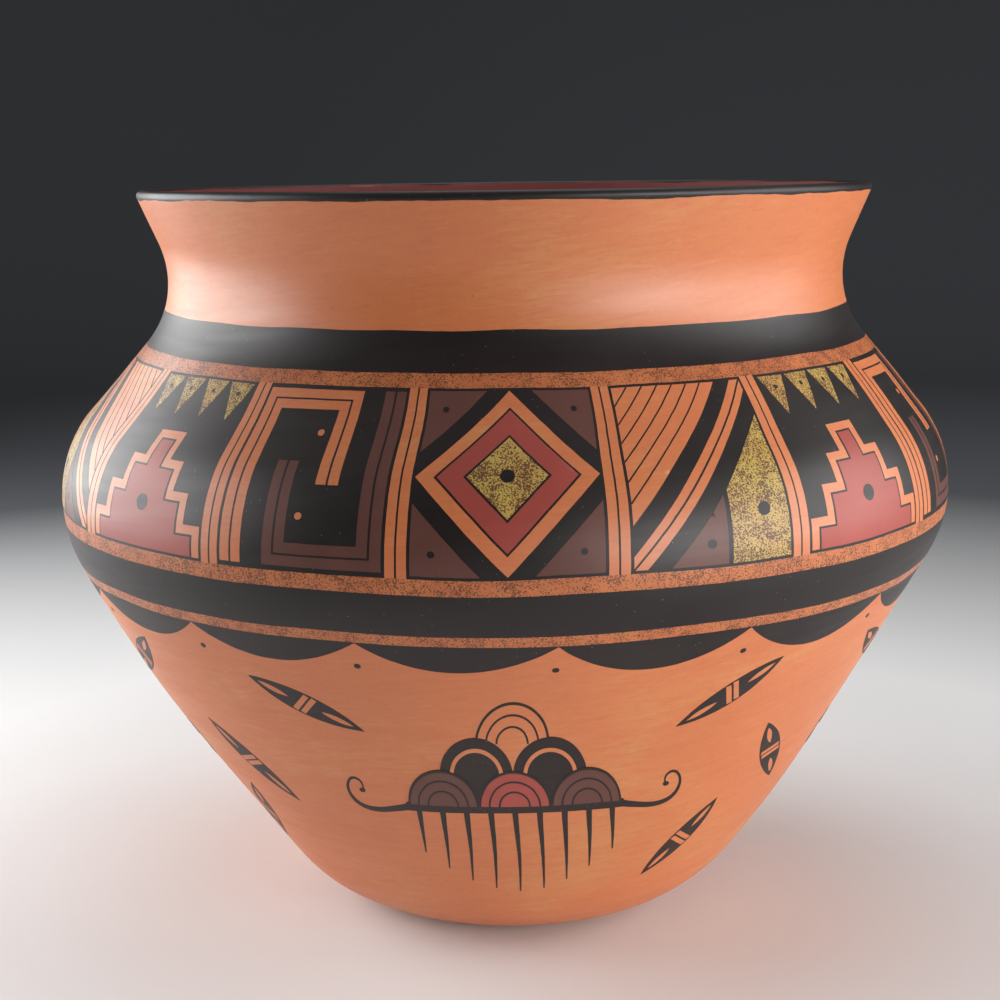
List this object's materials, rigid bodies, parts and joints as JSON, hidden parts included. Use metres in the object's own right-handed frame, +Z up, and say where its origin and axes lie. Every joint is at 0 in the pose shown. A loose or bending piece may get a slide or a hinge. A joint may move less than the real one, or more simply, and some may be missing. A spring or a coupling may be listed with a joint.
{
  "type": "pueblo pottery jar",
  "caption": "Coil-built pueblo pottery jar with a full belly, sloping shoulder, short neck and black lip, painted with black bands, speckled ribbons, a frieze and scallops.",
  "frame": {"origin": "centre of the flat that the jar stands on", "axes": "+Z up along the jar's axis; -Y towards the side that the picture shows"},
  "size_m": [0.3812, 0.3812, 0.3111],
  "materials": {
    "burnished_clay": "orange-tan clay, stone burnished to a satin shine, with fire blush",
    "black_paint": "brown-black mineral and plant paint, satin, with tiny pale specks",
    "speckled_slip": "clay-coloured ribbon stippled all over with dark brown paint",
    "red_slip": "dark maroon-red slip, wiped on and half burnished"
  },
  "bodies": {
    "root": {"base": "burnished_clay", "lower_wall_coil_1": "burnished_clay", "lower_wall_coil_2": "burnished_clay", "lower_wall_coil_3": "burnished_clay", "lower_wall_coil_4": "burnished_clay", "lower_wall_coil_5": "burnished_clay", "lower_wall_coil_6": "burnished_clay", "belly_coil_1": "burnished_clay", "belly_coil_2": "burnished_clay", "shoulder_coil_1": "burnished_clay", "shoulder_coil_2": "burnished_clay", "shoulder_coil_3": "burnished_clay", "neck_coil_1": "burnished_clay", "neck_coil_2": "burnished_clay", "rim_coil": "burnished_clay", "lip_paint": "black_paint", "interior_slip": "red_slip", "upper_black_band": "black_paint", "upper_speckled_ribbon": "speckled_slip", "frieze_ground": "black_paint", "middle_speckled_ribbon": "speckled_slip", "lower_black_band": "black_paint", "lower_speckled_ribbon": "speckled_slip", "scallop_band": "black_paint", "scallop_dots": "black_paint"}
  },
  "joints": []
}
